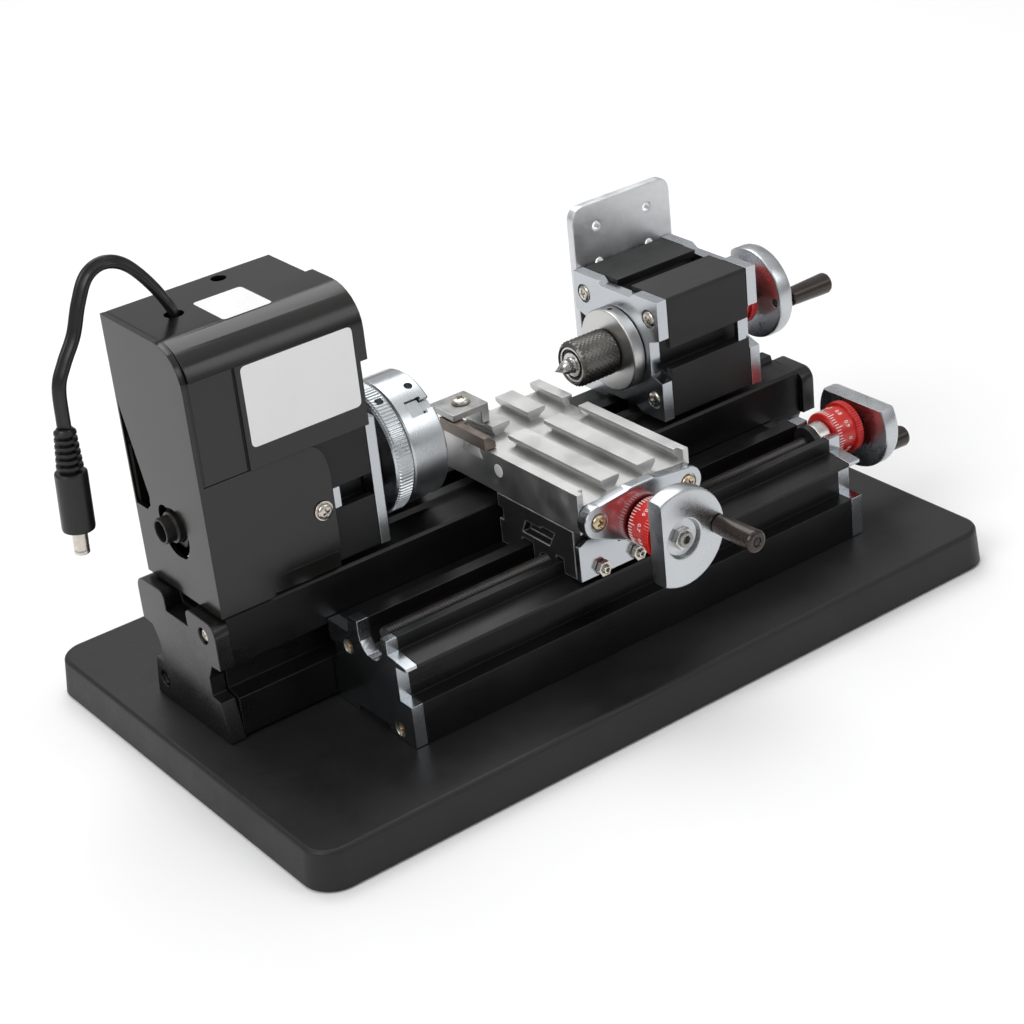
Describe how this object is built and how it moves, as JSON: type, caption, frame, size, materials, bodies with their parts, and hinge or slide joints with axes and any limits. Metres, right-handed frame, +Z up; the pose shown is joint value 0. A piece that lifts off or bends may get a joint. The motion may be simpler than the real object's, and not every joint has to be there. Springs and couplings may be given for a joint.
{
  "type": "metal lathe",
  "caption": "Miniature bench metal lathe on a flat base: profile bed, belt-driven three-jaw headstock, long and cross slides on lead screws, and a tailstock with live centre.",
  "frame": {"origin": "centre of the base plate's flat underside", "axes": "+X along the spindle from headstock to tailstock, +Y to the back, away from the operator, +Z up"},
  "size_m": [0.3437, 0.2097, 0.1969],
  "materials": {
    "tray": "matte",
    "black_anodised": "satin",
    "dark_plastic": "satin",
    "zinc_plate": "satin",
    "light_aluminium": "satin",
    "bright_steel": "satin",
    "black_steel": "satin",
    "red_dial": "satin",
    "brown_plastic": "satin",
    "tool_steel": "satin",
    "black_rubber": "matte"
  },
  "bodies": {
    "frame": {"base_plate": "tray", "bed_profile": "black_anodised", "bed_end_cap_left": "dark_plastic", "bed_end_cap_right": "dark_plastic", "long_slide_profile": "black_anodised", "long_slide_plate_left": "zinc_plate", "long_slide_plate_right": "zinc_plate", "headstock_block": "black_anodised", "headstock_front_plate": "zinc_plate", "motor_plate": "zinc_plate", "spindle_bearing_front": "bright_steel", "spindle_bearing_rear": "bright_steel", "belt_cover": "dark_plastic", "motor_cover": "dark_plastic", "cover_screw": "bright_steel", "motor_body": "bright_steel", "drive_belt": "black_rubber", "power_cable": "black_rubber", "plug_body": "black_rubber", "plug_tip": "bright_steel"},
    "spindle": {"spindle_shaft": "black_steel", "spindle_pulley": "black_steel", "chuck_body": "bright_steel"},
    "motor_rotor": {"motor_pulley": "black_steel"},
    "scroll_ring": {"chuck_scroll_ring": "bright_steel"},
    "jaw_1": {"chuck_jaw_1": "bright_steel"},
    "jaw_2": {"chuck_jaw_2": "bright_steel"},
    "jaw_3": {"chuck_jaw_3": "bright_steel"},
    "long_screw": {"long_leadscrew": "bright_steel", "long_dial": "red_dial", "long_handwheel": "zinc_plate"},
    "long_grip": {"long_handle": "brown_plastic"},
    "carriage": {"saddle": "black_anodised", "saddle_front_plate": "zinc_plate", "gib_screw_1": "bright_steel", "gib_screw_2": "bright_steel"},
    "cross_slide": {"cross_table": "light_aluminium", "cross_flange": "zinc_plate", "flange_screw_left": "bright_steel", "flange_screw_right": "bright_steel", "tool_clamp": "zinc_plate", "tool_clamp_screw": "bright_steel", "tool_bit": "tool_steel"},
    "cross_screw": {"cross_leadscrew": "bright_steel", "cross_dial": "red_dial", "cross_handwheel": "zinc_plate"},
    "cross_grip": {"cross_handle": "brown_plastic"},
    "tailstock": {"tailstock_body": "black_anodised", "tailstock_front_plate": "zinc_plate", "tailstock_rear_plate": "zinc_plate", "tailstock_guard_plate": "light_aluminium", "tailstock_flange": "light_aluminium"},
    "quill": {"tailstock_quill": "bright_steel", "centre_collar": "black_steel"},
    "live_centre": {"live_centre": "bright_steel"},
    "tail_screw": {"tail_leadscrew": "bright_steel", "tail_dial": "red_dial", "tail_handwheel": "zinc_plate"},
    "tail_grip": {"tail_handle": "brown_plastic"}
  },
  "joints": [
    {"name": "spindle_spin", "type": "hinge", "parent": "frame", "child": "spindle", "pos_m": [-0.08, 0.013, 0.093], "axis": [1, 0, 0], "continuous": true},
    {"name": "motor_spin", "type": "hinge", "parent": "frame", "child": "motor_rotor", "pos_m": [-0.12, 0.013, 0.143], "axis": [1, 0, 0], "continuous": true},
    {"name": "scroll_turn", "type": "hinge", "parent": "spindle", "child": "scroll_ring", "pos_m": [-0.054, 0.013, 0.093], "axis": [1, 0, 0], "range_deg": [-720, 288]},
    {"name": "jaw_1_slide", "type": "slide", "parent": "spindle", "child": "jaw_1", "axis": [0, -0.6947, 0.7193], "range_m": [-0.005, 0.002]},
    {"name": "jaw_2_slide", "type": "slide", "parent": "spindle", "child": "jaw_2", "axis": [0, -0.2756, -0.9613], "range_m": [-0.005, 0.002]},
    {"name": "jaw_3_slide", "type": "slide", "parent": "spindle", "child": "jaw_3", "axis": [0, 0.9703, 0.2419], "range_m": [-0.005, 0.002]},
    {"name": "long_screw_turn", "type": "hinge", "parent": "frame", "child": "long_screw", "pos_m": [0.13, -0.0415, 0.0504], "axis": [1, 0, 0], "range_deg": [-4140.5, 2484.5]},
    {"name": "carriage_slide", "type": "slide", "parent": "frame", "child": "carriage", "axis": [1, 0, 0], "range_m": [-0.0115, 0.0069]},
    {"name": "long_grip_spin", "type": "hinge", "parent": "long_screw", "child": "long_grip", "pos_m": [0.15, -0.0415, 0.0344], "axis": [1, 0, 0], "continuous": true},
    {"name": "cross_slide_slide", "type": "slide", "parent": "carriage", "child": "cross_slide", "axis": [0, 1, 0], "range_m": [-0.032, 0.001]},
    {"name": "cross_screw_turn", "type": "hinge", "parent": "cross_slide", "child": "cross_screw", "pos_m": [0.0085, -0.08, 0.0682], "axis": [0, 1, 0], "range_deg": [-11520.5, 360.5]},
    {"name": "cross_grip_spin", "type": "hinge", "parent": "cross_screw", "child": "cross_grip", "pos_m": [0.0245, -0.1, 0.0682], "axis": [0, 1, 0], "continuous": true},
    {"name": "tailstock_slide", "type": "slide", "parent": "frame", "child": "tailstock", "axis": [1, 0, 0], "range_m": [-0.0069, 0.02]},
    {"name": "tail_screw_turn", "type": "hinge", "parent": "tailstock", "child": "tail_screw", "pos_m": [0.13, 0.013, 0.093], "axis": [1, 0, 0], "range_deg": [-0.5, 2484.5]},
    {"name": "quill_slide", "type": "slide", "parent": "tailstock", "child": "quill", "axis": [-1, 0, 0], "range_m": [0, 0.0069]},
    {"name": "live_centre_spin", "type": "hinge", "parent": "quill", "child": "live_centre", "pos_m": [0.045, 0.013, 0.093], "axis": [1, 0, 0], "continuous": true},
    {"name": "tail_grip_spin", "type": "hinge", "parent": "tail_screw", "child": "tail_grip", "pos_m": [0.15, -0.003, 0.093], "axis": [1, 0, 0], "continuous": true}
  ],
  "couplings": [
    {"joint": "motor_spin", "follows": "spindle_spin", "ratio": 3.1522},
    {"joint": "long_screw_turn", "follows": "carriage_slide", "rad_per_m": 6283.2},
    {"joint": "cross_screw_turn", "follows": "cross_slide_slide", "rad_per_m": 6283.2},
    {"joint": "tail_screw_turn", "follows": "quill_slide", "rad_per_m": 6283.2},
    {"joint": "jaw_1_slide", "follows": "scroll_turn", "m_per_rad": 0.00039789},
    {"joint": "jaw_2_slide", "follows": "scroll_turn", "m_per_rad": 0.00039789},
    {"joint": "jaw_3_slide", "follows": "scroll_turn", "m_per_rad": 0.00039789}
  ]
}
